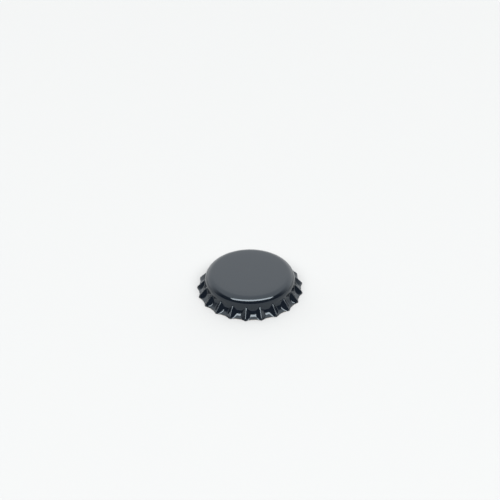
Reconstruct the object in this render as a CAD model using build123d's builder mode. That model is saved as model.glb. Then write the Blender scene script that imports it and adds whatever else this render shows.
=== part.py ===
from build123d import *
import os
from math import acos, asin, cos, hypot, pi, radians, sin, sqrt

# A crown cap for a bottle with a 26 mm crown mouth, standing on the lip of its skirt with the
# top panel up. Two pieces: the pressed tinplate shell and the plastic seal moulded into it.
# Millimetres. The origin is the centre of the lip circle, +Z is the cap's axis.

# Shell: the sheet, the top panel, the rounded corner and the plain wall
shell_height = 6.0
sheet = 0.23
bore_diameter = 26.65
corner_radius = 2.3
inside_corner_facets = 4

# Shell: the skirt. Hollow ridges, the teeth, run down a flare whose surface shows between them.
tooth_count = 21
skirt_diameter = 32.2
flare_diameter = 31.0
flare_radius = 3.38
flare_facets = 4
tooth_height = 3.5
crest_radius = 0.44
crest_flare_power = 1.4
lip_flank_lean = radians(21)
flank_lean = radians(32)
lean_height = 1.24
flank_length = 3.4
front_angle = -90

# Seal: a disc with two sealing beads under its edge
seal_diameter = 25.2
seal_edge_clearance = 0.1
seal_panel = 0.25
seal_web = 0.5
bead_depth = 1.1
bead_width = 0.9
bead_draft = 0.25
inner_bead_diameter = 20.6

# Worked out from the sizes above
wall_radius = bore_diameter / 2 + sheet
flare_reach = flare_diameter / 2 - wall_radius
flare_height = sqrt(flare_radius**2 - (flare_radius - flare_reach) ** 2)
flare_turn = asin(flare_height / flare_radius)
flare_turns = [flare_turn * (1 - step / flare_facets) for step in range(flare_facets + 1)]
flare_levels = [flare_height - flare_radius * sin(turn) for turn in flare_turns]
tooth_levels = [level for level in flare_levels if level < tooth_height] + [tooth_height]
tooth_reach = skirt_diameter / 2 - wall_radius
panel_underside = shell_height - sheet
corner_centre_radius = wall_radius - corner_radius
corner_centre_height = shell_height - corner_radius


def tooth_section(height, inside):
    """Half of a tooth's section at a height: the crest, the ends of its arc and flank, and the core.

    The flank is tangent to the crest's arc and runs on past the middle of the valley. The core is
    deep inside the cup, so that the section reaches the flare from any skirt. The inside is a plain
    fold with flanks parallel to the outer ones. At its top the tooth sinks into the wall.
    """
    rise = 1 - height / tooth_height
    slope = crest_flare_power * tooth_reach / tooth_height * rise ** (crest_flare_power - 1)
    crest = wall_radius + tooth_reach * rise**crest_flare_power
    if height == tooth_height:
        crest -= sheet / 2
    lean_share = sin(min(height / lean_height, 1) * pi / 2)
    lean = lip_flank_lean + (flank_lean - lip_flank_lean) * lean_share
    flank = Vector(-sin(lean), cos(lean)) * flank_length
    centre = Vector(crest - crest_radius, 0)
    if inside:
        fold = centre + Vector((crest_radius - sheet * hypot(1, slope)) / cos(lean), 0)
        return fold, fold, fold + flank, Vector(corner_centre_radius, flank.Y)
    arc_end = centre + Vector(cos(lean), sin(lean)) * crest_radius
    root = arc_end + flank
    return Vector(crest, 0), arc_end, root, Vector(corner_centre_radius, root.Y)


def tooth_form(inside):
    """One tooth at angle zero, lofted from the lip up to where it dies away in the wall."""
    with BuildPart() as tooth:
        for height in tooth_levels:
            crest, *side = tooth_section(height, inside)
            other_side = [(point.X, -point.Y) for point in reversed(side)]
            with BuildSketch(Plane.XY.offset(height)):
                with BuildLine():
                    if not inside:
                        ThreePointArc(other_side[-1], crest, side[0])
                    Polyline(*side, *other_side)
                make_face()
        loft(ruled=True)
    return tooth.part


def corner_point(turn, inset):
    """A point of the rounded corner's section, turned from the wall towards the panel."""
    radius = corner_radius - inset
    return corner_centre_radius + radius * cos(turn), corner_centre_height + radius * sin(turn)


def flare_point(height, inset):
    """A point of the flare's section at a height, on the outer surface or set in from it."""
    drop = flare_height - height
    return wall_radius + flare_radius - sqrt((flare_radius + inset) ** 2 - drop**2), height


def bell_form(inset):
    """The panel, corner, wall and flare as one solid of revolution, set in by a distance.

    The flare is a row of cones between the levels of the teeth's sections. So is the inside of the
    corner, which the seal covers.
    """
    wall_end = corner_point(0, inset)
    panel_edge = corner_point(pi / 2, inset)
    flare = [flare_point(height, inset) for height in flare_levels]
    turns = [pi / 2 * step / inside_corner_facets for step in range(inside_corner_facets + 1)]
    with BuildPart() as bell:
        with BuildSketch(Plane.XZ):
            with BuildLine():
                Polyline(panel_edge, (0, shell_height - inset), (0, 0), *flare, wall_end)
                if inset:
                    Polyline(*[corner_point(turn, inset) for turn in turns])
                else:
                    TangentArc(wall_end, panel_edge, tangent=(0, 1))
            make_face()
        revolve(axis=Axis.Z)
    return bell.part


# Crown shell: one disc of tinplate, drawn to a cup while the die folds its edge into teeth.
# The outer form is made first, and the same form set in by the sheet is then taken out of it.
with BuildPart() as crown_shell:
    for inset, mode in ((0, Mode.ADD), (sheet, Mode.SUBTRACT)):
        add(bell_form(inset), mode=mode)
        tooth = tooth_form(inset > 0)
        with PolarLocations(0, tooth_count, start_angle=front_angle):
            add(tooth, mode=mode)
crown_shell.part.label = "crown_shell"

# Sealing liner: soft plastic moulded in place against the inside of the panel.
seal_radius = seal_diameter / 2
edge_inset = sheet + seal_edge_clearance
edge_turn = acos((seal_radius - corner_centre_radius) / (corner_radius - edge_inset))
edge_end = corner_point(edge_turn, edge_inset)
edge_middle = corner_point((edge_turn + pi / 2) / 2, edge_inset)
bead_bottom = panel_underside - bead_depth
web_underside = panel_underside - seal_web
centre_underside = panel_underside - seal_panel
inner_bead_radius = inner_bead_diameter / 2

with BuildPart() as sealing_liner:
    with BuildSketch(Plane.XZ):
        with BuildLine():
            Polyline(
                (0, panel_underside),
                (corner_centre_radius, panel_underside),
                edge_middle,
                edge_end,
                (seal_radius - bead_draft, bead_bottom),
                (seal_radius - bead_width + bead_draft, bead_bottom),
                (seal_radius - bead_width, web_underside),
                (inner_bead_radius, web_underside),
                (inner_bead_radius - bead_draft, bead_bottom),
                (inner_bead_radius - bead_width + bead_draft, bead_bottom),
                (inner_bead_radius - bead_width, centre_underside),
                (0, centre_underside),
                close=True,
            )
        make_face()
    revolve(axis=Axis.Z)
sealing_liner.part.label = "sealing_liner"

os.makedirs("parts", exist_ok=True)
export_step(crown_shell.part, "parts/crown_shell.step")
export_step(sealing_liner.part, "parts/sealing_liner.step")
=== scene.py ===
from math import atan, cos, pi, radians, sin

import bpy
import numpy as np
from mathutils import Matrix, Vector


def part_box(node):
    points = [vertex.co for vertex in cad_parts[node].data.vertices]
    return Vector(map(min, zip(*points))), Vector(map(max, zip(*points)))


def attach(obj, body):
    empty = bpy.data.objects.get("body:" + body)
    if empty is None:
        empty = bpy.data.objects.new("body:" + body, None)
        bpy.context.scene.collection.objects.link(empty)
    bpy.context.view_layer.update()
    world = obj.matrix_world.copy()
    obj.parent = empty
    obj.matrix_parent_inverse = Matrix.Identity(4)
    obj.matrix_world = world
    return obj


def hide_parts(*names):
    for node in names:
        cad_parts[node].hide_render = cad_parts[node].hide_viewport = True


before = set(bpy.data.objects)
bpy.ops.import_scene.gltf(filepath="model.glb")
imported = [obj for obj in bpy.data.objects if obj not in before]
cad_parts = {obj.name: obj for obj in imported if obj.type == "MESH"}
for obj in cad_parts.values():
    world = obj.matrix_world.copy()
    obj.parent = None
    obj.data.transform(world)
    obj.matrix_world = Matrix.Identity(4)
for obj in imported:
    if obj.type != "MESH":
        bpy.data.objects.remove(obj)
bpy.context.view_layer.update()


def linear(colour):
    """Linear red, green, blue and alpha of an sRGB hex colour."""
    channels = np.array([int(colour[start : start + 2], 16) for start in (1, 3, 5)]) / 255
    values = np.where(channels <= 0.04045, channels / 12.92, ((channels + 0.055) / 1.055) ** 2.4)
    return (*values.tolist(), 1.0)


def add_node(tree, kind, sockets, **settings):
    """Adds a node. Each socket gets a value, or a link where it is given another node's output."""
    node = tree.nodes.new(kind)
    for name, value in settings.items():
        setattr(node, name, value)
    for name, value in sockets.items():
        if isinstance(value, bpy.types.NodeSocket):
            tree.links.new(value, node.inputs[name])
        else:
            node.inputs[name].default_value = value
    return node


def closed_rings(name, rings, first_pole, last_pole):
    """A closed surface through rings of points, the first and last of them joined to a pole.

    Seen from above the points run anticlockwise. Rings that go up have their faces outward.
    """
    count, columns = rings.shape[:2]
    index = np.arange(count * columns).reshape(count, columns)
    after = np.roll(index, -1, axis=1)
    quads = np.stack([index[:-1], after[:-1], after[1:], index[1:]], axis=-1).reshape(-1, 4)
    pole = np.full(columns, count * columns)
    first_fan = np.stack([pole, after[0], index[0]], axis=-1)
    last_fan = np.stack([pole + 1, index[-1], after[-1]], axis=-1)
    points = np.concatenate([rings.reshape(-1, 3), [first_pole, last_pole]])
    mesh = bpy.data.meshes.new(name)
    mesh.from_pydata(points.tolist(), [], quads.tolist() + first_fan.tolist() + last_fan.tolist())
    mesh.shade_smooth()
    piece = bpy.data.objects.new(name, mesh)
    bpy.context.scene.collection.objects.link(piece)
    return piece


# Crown shell: one disc of tin-plated steel sheet, lacquered black, drawn to a cup while the die
# folds its edge into 21 teeth. The sheared edge is bare steel. The inside has clear lacquer.
mm = 0.001
shell_low, shell_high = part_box("crown_shell")
liner_low, liner_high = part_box("sealing_liner")
shell_height = shell_high.z
skirt_radius = -shell_low.y
sheet = shell_height - liner_high.z
wall_radius = 13.555 * mm
corner_radius = 2.3 * mm
corner_centre_radius = wall_radius - corner_radius
corner_centre_height = shell_height - corner_radius
tooth_count = 21
tooth_height = 3.5 * mm
half_pitch = pi / tooth_count

# The teeth's crests leave the wall, turn out over a shoulder, run straight to a blunt nose and
# drop to the lip. Between them the flare shows as the floor of the valleys.
crest_start_height = 3.3 * mm
shoulder_radius = 14.15 * mm
shoulder_height = 2.7 * mm
nose_radius = 16.03 * mm
nose_height = 0.55 * mm
crest_corners = np.array(
    [
        (wall_radius, corner_centre_height),
        (wall_radius, crest_start_height),
        (shoulder_radius, shoulder_height),
        (nose_radius, nose_height),
        (skirt_radius, 0),
    ]
)
crest_setback = 0.2 * mm
crest_bend_points = 24
crest_arc_radius = 0.22 * mm
least_crest = 0.0001 * mm
foot_arc_radius = 0.5 * mm
foot_room_share = 0.999
flare_height = 3.06 * mm
flare_radius = 3.38 * mm
waist_height = 0.9 * mm
waist_floor_half = 0.55 * mm
lip_floor_half = 0.7 * mm
top_floor_half = 1.4 * mm

# Rings from the lip up, and columns round the shell with the finest steps at the crests
skirt_steps = 40
corner_steps = 14
panel_steps = 5
half_columns = 16
crowding = 1.5
half_turns = half_pitch * (np.arange(half_columns + 1) / half_columns) ** crowding
tooth_turns = np.concatenate([-half_turns[:0:-1], half_turns[:-1]])
crest_turns = np.arange(tooth_count) * 2 * half_pitch - pi / 2
column_turns = (crest_turns[:, None] + tooth_turns).ravel()
from_crest = np.tile(np.abs(tooth_turns), tooth_count)


def crest_radius(rise):
    """Radius of the crests at a height: straight runs between corners rounded as parabolas."""
    before, corner, after = crest_corners[:-2], crest_corners[1:-1], crest_corners[2:]
    to_before = before - corner
    to_after = after - corner
    start = corner + to_before * crest_setback / np.linalg.norm(to_before, axis=1)[:, None]
    end = corner + to_after * crest_setback / np.linalg.norm(to_after, axis=1)[:, None]
    share = np.linspace(0, 1, crest_bend_points)[:, None]
    bends = (1 - share) ** 2 * start[:, None] + 2 * share * (1 - share) * corner[:, None]
    bends = bends + share**2 * end[:, None]
    line = np.concatenate([crest_corners[:1], bends.reshape(-1, 2), crest_corners[-1:]])
    return np.interp(rise, line[::-1, 1], line[::-1, 0])


def skirt_radius_at(rise):
    """Radius of the skirt's outer face at heights given for each column.

    A level section is a wave: crest arcs and wider foot arcs, joined by straight flanks that are
    tangent to both, with a bit of the flare's circle between the feet.
    """
    drop = np.clip(flare_height - rise, 0, None)
    floor = wall_radius + flare_radius - np.sqrt(flare_radius**2 - drop**2)
    crest = np.maximum(crest_radius(rise), floor + least_crest)
    above = np.clip((rise - waist_height) / (tooth_height - waist_height), 0, 1)
    below = np.clip(1 - rise / waist_height, 0, 1)
    floor_half = waist_floor_half + (top_floor_half - waist_floor_half) * above**2 * (3 - 2 * above)
    floor_half = floor_half + (lip_floor_half - waist_floor_half) * below**2
    foot_turn = half_pitch - floor_half / floor

    # The foot's arc shrinks where a low tooth leaves no room for it.
    crest_arc = np.minimum(crest_arc_radius, sheet + crest - floor)
    crest_centre = crest - crest_arc
    across = crest_centre * np.cos(foot_turn)
    room = crest_arc**2 - crest_centre**2 - floor**2 + 2 * across * floor
    room = room / (2 * (floor - across - crest_arc))
    tight = (room > 0) & (room < foot_arc_radius)
    foot_arc = np.where(tight, foot_room_share * room, foot_arc_radius)
    foot_centre = floor + foot_arc
    away = foot_centre * np.cos(foot_turn) - crest_centre
    aside = foot_centre * np.sin(foot_turn)
    touching = np.clip((crest_arc + foot_arc) / np.hypot(away, aside), 0, 1)
    lean = np.arctan2(aside, away) - np.arccos(touching)

    # The turns at which the crest's arc meets the flank, and the flank the foot's arc
    flank_start = np.arctan2(crest_arc * np.sin(lean), crest_centre + crest_arc * np.cos(lean))
    foot_across = foot_centre * np.cos(foot_turn) - foot_arc * np.cos(lean)
    flank_end = np.arctan2(aside - foot_arc * np.sin(lean), foot_across)
    past_foot = foot_turn - from_crest
    crest_chord = np.clip(crest_arc**2 - (crest_centre * np.sin(from_crest)) ** 2, 0, None)
    foot_chord = np.clip(foot_arc**2 - (foot_centre * np.sin(past_foot)) ** 2, 0, None)
    on_crest = crest_centre * np.cos(from_crest) + np.sqrt(crest_chord)
    on_flank = (crest_centre * np.cos(lean) + crest_arc) / np.cos(from_crest - lean)
    on_foot = foot_centre * np.cos(past_foot) - np.sqrt(foot_chord)
    places = [from_crest < flank_start, from_crest < flank_end, from_crest < foot_turn]
    return np.maximum(np.select(places, [on_crest, on_flank, on_foot], floor), floor)


def outer_rings(edge_rise):
    """Rings of the outer face from the sheared edge up the skirt, round the corner and over the panel.

    The skirt's heights are shared out evenly above the edge, the corner is a quarter of a circle
    and the panel is level.
    """
    share = np.arange(skirt_steps + 1)[:, None] / skirt_steps
    skirt_heights = edge_rise + share * (tooth_height - edge_rise)
    skirt_radii = skirt_radius_at(np.broadcast_to(share * tooth_height, skirt_heights.shape))
    turns = np.arange(corner_steps + 1)[:, None] / corner_steps * pi / 2
    panel_radii = corner_centre_radius * np.arange(panel_steps - 1, 0, -1)[:, None] / panel_steps
    cup_radii = np.concatenate([corner_centre_radius + corner_radius * np.cos(turns), panel_radii])
    cup_heights = corner_centre_height + corner_radius * np.sin(turns)
    cup_heights = np.concatenate([cup_heights, np.full_like(panel_radii, shell_height)])
    radii = np.concatenate([skirt_radii, np.tile(cup_radii, len(column_turns))])
    heights = np.concatenate([skirt_heights, np.tile(cup_heights, len(column_turns))])
    return np.stack([radii * np.cos(column_turns), radii * np.sin(column_turns), heights], axis=-1)


def set_in(rings):
    """The same rings moved in by the sheet, square to the surface."""
    along = np.roll(rings, -1, axis=1) - np.roll(rings, 1, axis=1)
    normal = np.cross(along, np.gradient(rings, axis=0))
    return rings - sheet * normal / np.linalg.norm(normal, axis=-1, keepdims=True)


# The edge is sheared square to the sheet. Its inner side is brought down to the table.
edge_start_rise = 0.17 * mm
edge_passes = 3
edge_rise = np.full(len(column_turns), edge_start_rise)
for edge_pass in range(edge_passes):
    outside = outer_rings(edge_rise)
    inside = set_in(outside)
    edge_rise = edge_rise - inside[0, :, 2]
inside[..., 2] = np.maximum(inside[..., 2], 0)
shell_rings = np.concatenate([inside[::-1], outside])
shell = closed_rings("lacquered_shell", shell_rings, (0, 0, shell_height - sheet), (0, 0, shell_height))

# The sheared edge lies between two rings and is sharp on both sides. Inside, edge and outside
# each have a finish.
outside_finish, edge_finish, inside_finish = range(3)
edge_ring = len(inside) - 1
shell_columns = len(column_turns)
face_rings = np.arange(len(shell_rings) - 1).repeat(shell_columns)
places = [face_rings < edge_ring, face_rings == edge_ring]
finish = np.select(places, [inside_finish, edge_finish], outside_finish)
finish = np.concatenate([finish, np.repeat([inside_finish, outside_finish], shell_columns)])
shell.data.polygons.foreach_set("material_index", finish.astype(np.int32))
edge_ends = np.empty(2 * len(shell.data.edges), np.int32)
shell.data.edges.foreach_get("vertices", edge_ends)
end_rings = edge_ends.reshape(-1, 2) // shell_columns
sharp = (end_rings[:, 0] == end_rings[:, 1]) & np.isin(end_rings[:, 0], (edge_ring, edge_ring + 1))
shell.data.edges.foreach_set("use_edge_sharp", sharp)

# Black gloss lacquer: roller-coated and stoved, with a faint orange peel, a slow change of gloss
# and a few specks of dust.
lacquer_colour = "#0d1219"
lacquer_sheen = "#eaf7ff"
dust_colour = "#6f7478"
peel_size = 1.1 * mm
peel_depth = 0.0004 * mm
gloss_patch_size = 6 * mm
dust_spacing = 0.5 * mm
lacquer = bpy.data.materials.new("black_gloss_lacquer")
lacquer.use_nodes = True
tree = lacquer.node_tree
place = add_node(tree, "ShaderNodeTexCoord", {}).outputs["Object"]
peel = add_node(tree, "ShaderNodeTexNoise", {"Vector": place, "Scale": 1 / peel_size, "Detail": 2.0})
peel_bump = add_node(
    tree,
    "ShaderNodeBump",
    {"Height": peel.outputs["Fac"], "Strength": 1.0, "Distance": peel_depth},
)
cloud = add_node(tree, "ShaderNodeTexNoise", {"Vector": place, "Scale": 1 / gloss_patch_size, "Detail": 3.0})
gloss = add_node(
    tree,
    "ShaderNodeMapRange",
    {"Value": cloud.outputs["Fac"], "From Min": 0.3, "From Max": 0.7, "To Min": 0.055, "To Max": 0.085},
)
dust = add_node(tree, "ShaderNodeTexNoise", {"Vector": place, "Scale": 1 / dust_spacing, "Detail": 1.0})
speck = add_node(
    tree,
    "ShaderNodeMapRange",
    {"Value": dust.outputs["Fac"], "From Min": 0.8, "From Max": 0.86, "To Min": 0.0, "To Max": 0.5},
)
tint = add_node(
    tree,
    "ShaderNodeMix",
    {"Factor": speck.outputs["Result"], "A": linear(lacquer_colour), "B": linear(dust_colour)},
    data_type="RGBA",
)
shader = tree.nodes["Principled BSDF"]
shader.inputs["IOR"].default_value = 1.52
shader.inputs["Specular Tint"].default_value = linear(lacquer_sheen)
tree.links.new(tint.outputs["Result"], shader.inputs["Base Color"])
tree.links.new(gloss.outputs["Result"], shader.inputs["Roughness"])
tree.links.new(peel_bump.outputs["Normal"], shader.inputs["Normal"])

# Sheared steel edge: bare metal, mottled by the fine scores of the blanking die.
steel_colour = "#8f8275"
steel_light_colour = "#c9bfb2"
score_size = 0.12 * mm
score_depth = 0.01 * mm
cut_steel = bpy.data.materials.new("bare_sheared_steel")
cut_steel.use_nodes = True
tree = cut_steel.node_tree
place = add_node(tree, "ShaderNodeTexCoord", {}).outputs["Object"]
scores = add_node(tree, "ShaderNodeTexNoise", {"Vector": place, "Scale": 1 / score_size, "Detail": 2.0})
steel_tint = add_node(
    tree,
    "ShaderNodeMix",
    {"Factor": scores.outputs["Fac"], "A": linear(steel_colour), "B": linear(steel_light_colour)},
    data_type="RGBA",
)
score_bump = add_node(
    tree,
    "ShaderNodeBump",
    {"Height": scores.outputs["Fac"], "Strength": 0.6, "Distance": score_depth},
)
shader = tree.nodes["Principled BSDF"]
shader.inputs["Metallic"].default_value = 1.0
shader.inputs["Roughness"].default_value = 0.45
tree.links.new(steel_tint.outputs["Result"], shader.inputs["Base Color"])
tree.links.new(score_bump.outputs["Normal"], shader.inputs["Normal"])

# Inside of the shell: tinplate under clear lacquer, with the grain of the rolled sheet along X.
tin_colour = "#b9b4a8"
tin_light_colour = "#dad6cb"
grain_width = 0.15 * mm
grain_width_to_length = 0.04
tinplate = bpy.data.materials.new("clear_lacquered_tinplate")
tinplate.use_nodes = True
tree = tinplate.node_tree
place = add_node(tree, "ShaderNodeTexCoord", {}).outputs["Object"]
rolled = add_node(tree, "ShaderNodeMapping", {"Vector": place, "Scale": (grain_width_to_length, 1.0, 1.0)})
grain = add_node(
    tree,
    "ShaderNodeTexNoise",
    {"Vector": rolled.outputs["Vector"], "Scale": 1 / grain_width, "Detail": 3.0},
)
tin_tint = add_node(
    tree,
    "ShaderNodeMix",
    {"Factor": grain.outputs["Fac"], "A": linear(tin_colour), "B": linear(tin_light_colour)},
    data_type="RGBA",
)
tin_gloss = add_node(
    tree,
    "ShaderNodeMapRange",
    {"Value": grain.outputs["Fac"], "From Min": 0.3, "From Max": 0.7, "To Min": 0.24, "To Max": 0.36},
)
shader = tree.nodes["Principled BSDF"]
shader.inputs["Metallic"].default_value = 1.0
shader.inputs["Coat Weight"].default_value = 0.6
shader.inputs["Coat Roughness"].default_value = 0.12
tree.links.new(tin_tint.outputs["Result"], shader.inputs["Base Color"])
tree.links.new(tin_gloss.outputs["Result"], shader.inputs["Roughness"])

shell.data.materials.append(lacquer)
shell.data.materials.append(cut_steel)
shell.data.materials.append(tinplate)
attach(shell, "root")
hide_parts("crown_shell")


# Sealing liner: off-white soft plastic, moulded in place under the panel by a punch, with two
# rounded sealing beads near its edge. It holds by its own grip on the lacquer.
seal_radius = liner_high.x
seal_top = liner_high.z
bead_bottom = liner_low.z
seal_web = 0.5 * mm
seal_panel = 0.25 * mm
web_underside = seal_top - seal_web
centre_underside = seal_top - seal_panel
centre_radius = 9.2 * mm
bead_half_width = 0.45 * mm
bead_fullness = 0.6
inner_bead_middle = 9.85 * mm
outer_bead_middle = seal_radius - bead_half_width
edge_clearance = 0.1 * mm
edge_radius = corner_radius - sheet - edge_clearance
centre_ring_shares = (0.1, 0.5, 0.9, 0.99, 1.0)
top_ring_shares = (0.98, 0.5, 0.1)
bead_points = 17
edge_points = 9
liner_columns = 160


def liner_profile():
    """Radius and height along the liner's section, from the middle of its underside out and over.

    The underside goes from the thin centre down to a web, and each bead hangs from it as a full,
    rounded half oval: a sine raised to a power below one. The edge follows the shell's corner at a
    small clearance.
    """
    swing = np.linspace(0, pi, bead_points)
    profile = [np.array([(centre_radius * share, centre_underside) for share in centre_ring_shares])]
    beads = [(inner_bead_middle, centre_underside), (outer_bead_middle, web_underside)]
    for middle, level in beads:
        radii = middle - bead_half_width * np.cos(swing)
        depths = level - (level - bead_bottom) * np.sin(swing) ** bead_fullness
        profile.append(np.stack([radii, depths], axis=-1))
    edge_start = np.arccos((seal_radius - corner_centre_radius) / edge_radius)
    turns = np.linspace(edge_start, pi / 2, edge_points)
    edge = np.stack([np.cos(turns), np.sin(turns)], axis=-1) * edge_radius
    profile.append(edge + (corner_centre_radius, corner_centre_height))
    profile.append(np.array([(corner_centre_radius * share, seal_top) for share in top_ring_shares]))
    return np.concatenate(profile)


profile = liner_profile()
angles = np.arange(liner_columns) / liner_columns * 2 * pi
liner_rings = np.stack(
    [
        profile[:, :1] * np.cos(angles),
        profile[:, :1] * np.sin(angles),
        np.broadcast_to(profile[:, 1:], (len(profile), len(angles))),
    ],
    axis=-1,
)
liner = closed_rings("moulded_liner", liner_rings, (0, 0, centre_underside), (0, 0, seal_top))

# Satin off-white plastic, with the fine mottle of a moulded compound and a soft inner glow.
plastic_colour = "#d6d6cf"
plastic_light_colour = "#e6e6e1"
mottle_size = 0.8 * mm
mottle_depth = 0.01 * mm
glow_depth = 0.3 * mm
plastic = bpy.data.materials.new("satin_liner_plastic")
plastic.use_nodes = True
tree = plastic.node_tree
place = add_node(tree, "ShaderNodeTexCoord", {}).outputs["Object"]
mottle = add_node(tree, "ShaderNodeTexNoise", {"Vector": place, "Scale": 1 / mottle_size, "Detail": 4.0})
plastic_tint = add_node(
    tree,
    "ShaderNodeMix",
    {"Factor": mottle.outputs["Fac"], "A": linear(plastic_colour), "B": linear(plastic_light_colour)},
    data_type="RGBA",
)
plastic_bump = add_node(
    tree,
    "ShaderNodeBump",
    {"Height": mottle.outputs["Fac"], "Strength": 0.5, "Distance": mottle_depth},
)
shader = tree.nodes["Principled BSDF"]
shader.inputs["Roughness"].default_value = 0.42
shader.inputs["IOR"].default_value = 1.5
shader.inputs["Subsurface Weight"].default_value = 0.15
shader.inputs["Subsurface Radius"].default_value = (1.0, 0.9, 0.8)
shader.inputs["Subsurface Scale"].default_value = glow_depth
tree.links.new(plastic_tint.outputs["Result"], shader.inputs["Base Color"])
tree.links.new(plastic_bump.outputs["Normal"], shader.inputs["Normal"])
liner.data.materials.append(plastic)
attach(liner, "root")
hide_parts("sealing_liner")


# Table: a plain matt sheet that runs out of the picture on all sides. The light brings it up to
# just below white.
table_colour = "#a8a9a9"
table_half = 3.0
table_corners = [
    (-table_half, -table_half, 0),
    (table_half, -table_half, 0),
    (table_half, table_half, 0),
    (-table_half, table_half, 0),
]
table_mesh = bpy.data.meshes.new("table")
table_mesh.from_pydata(table_corners, [], [(0, 1, 2, 3)])
table = bpy.data.objects.new("table", table_mesh)
bpy.context.scene.collection.objects.link(table)
paper = bpy.data.materials.new("white_matt_paper")
paper.use_nodes = True
shader = paper.node_tree.nodes["Principled BSDF"]
shader.inputs["Base Color"].default_value = linear(table_colour)
shader.inputs["Roughness"].default_value = 0.9
shader.inputs["Specular IOR Level"].default_value = 0.2
table_mesh.materials.append(paper)


# Camera: a long lens, turned round the cap so that the front tooth stands left of the middle. The
# cap's centre lies below the middle of the picture.
camera_turn = radians(4.8)
camera_elevation = radians(37.4)
focal_share = 2.6
picture_pixels = 500
pixels_per_mm = 3.285
below_middle_pixels = 38.3
picture_width_at_cap = picture_pixels / pixels_per_mm * mm
below_middle_share = below_middle_pixels / picture_pixels
distance = focal_share * picture_width_at_cap
pitch = camera_elevation - atan(below_middle_share / focal_share)
camera_data = bpy.data.cameras.new("camera")
camera_data.sensor_width = 36.0
camera_data.lens = focal_share * camera_data.sensor_width
camera_data.clip_start = 0.01
camera = bpy.data.objects.new("camera", camera_data)
camera.location = distance * Vector(
    (
        sin(camera_turn) * cos(camera_elevation),
        -cos(camera_turn) * cos(camera_elevation),
        sin(camera_elevation),
    )
)
camera.rotation_euler = (pi / 2 - pitch, 0, camera_turn)
bpy.context.scene.collection.objects.link(camera)
bpy.context.scene.camera = camera
bpy.context.scene.view_settings.view_transform = "Standard"


# Light: a white room, bright behind and overhead and dark low in front, and a long softbox in
# front and above. The room is turned with the camera, and the softbox a little further round.
room_colour = "#ffffff"
room_dark_colour = "#2e2e2e"
room_strength = 1.75
room = bpy.data.worlds.new("white_room")
room.use_nodes = True
bpy.context.scene.world = room
tree = room.node_tree
direction = add_node(tree, "ShaderNodeTexCoord", {}).outputs["Generated"]
forward = add_node(
    tree,
    "ShaderNodeVectorMath",
    {0: direction, 1: (-sin(camera_turn), cos(camera_turn), 0)},
    operation="DOT_PRODUCT",
)
upward = add_node(tree, "ShaderNodeSeparateXYZ", {"Vector": direction})
frontness = add_node(
    tree,
    "ShaderNodeMapRange",
    {"Value": forward.outputs["Value"], "From Min": 0.55, "From Max": -0.3, "To Min": 0.0, "To Max": 1.0},
    interpolation_type="SMOOTHSTEP",
)
lowness = add_node(
    tree,
    "ShaderNodeMapRange",
    {"Value": upward.outputs["Z"], "From Min": 0.76, "From Max": 0.58, "To Min": 0.0, "To Max": 1.0},
    interpolation_type="SMOOTHSTEP",
)
darkness = add_node(
    tree,
    "ShaderNodeMath",
    {0: frontness.outputs["Result"], 1: lowness.outputs["Result"]},
    operation="MULTIPLY",
)
room_tint = add_node(
    tree,
    "ShaderNodeMix",
    {"Factor": darkness.outputs["Value"], "A": linear(room_colour), "B": linear(room_dark_colour)},
    data_type="RGBA",
)
backdrop = tree.nodes["Background"]
tree.links.new(room_tint.outputs["Result"], backdrop.inputs["Color"])
backdrop.inputs["Strength"].default_value = room_strength

softbox_length = 8.6
softbox_width = 1.65
softbox_radiance = 9.6
softbox_reach = 2.93
softbox_height = 3.75
softbox_turn = camera_turn + radians(6)
softbox_data = bpy.data.lights.new("softbox", "AREA")
softbox_data.shape = "RECTANGLE"
softbox_data.size = softbox_length
softbox_data.size_y = softbox_width
softbox_data.energy = softbox_radiance * pi * softbox_length * softbox_width
softbox = bpy.data.objects.new("softbox", softbox_data)
softbox.location = (
    softbox_reach * sin(softbox_turn),
    -softbox_reach * cos(softbox_turn),
    softbox_height,
)
softbox.rotation_euler = (-softbox.location).to_track_quat("-Z", "Y").to_euler()
bpy.context.scene.collection.objects.link(softbox)
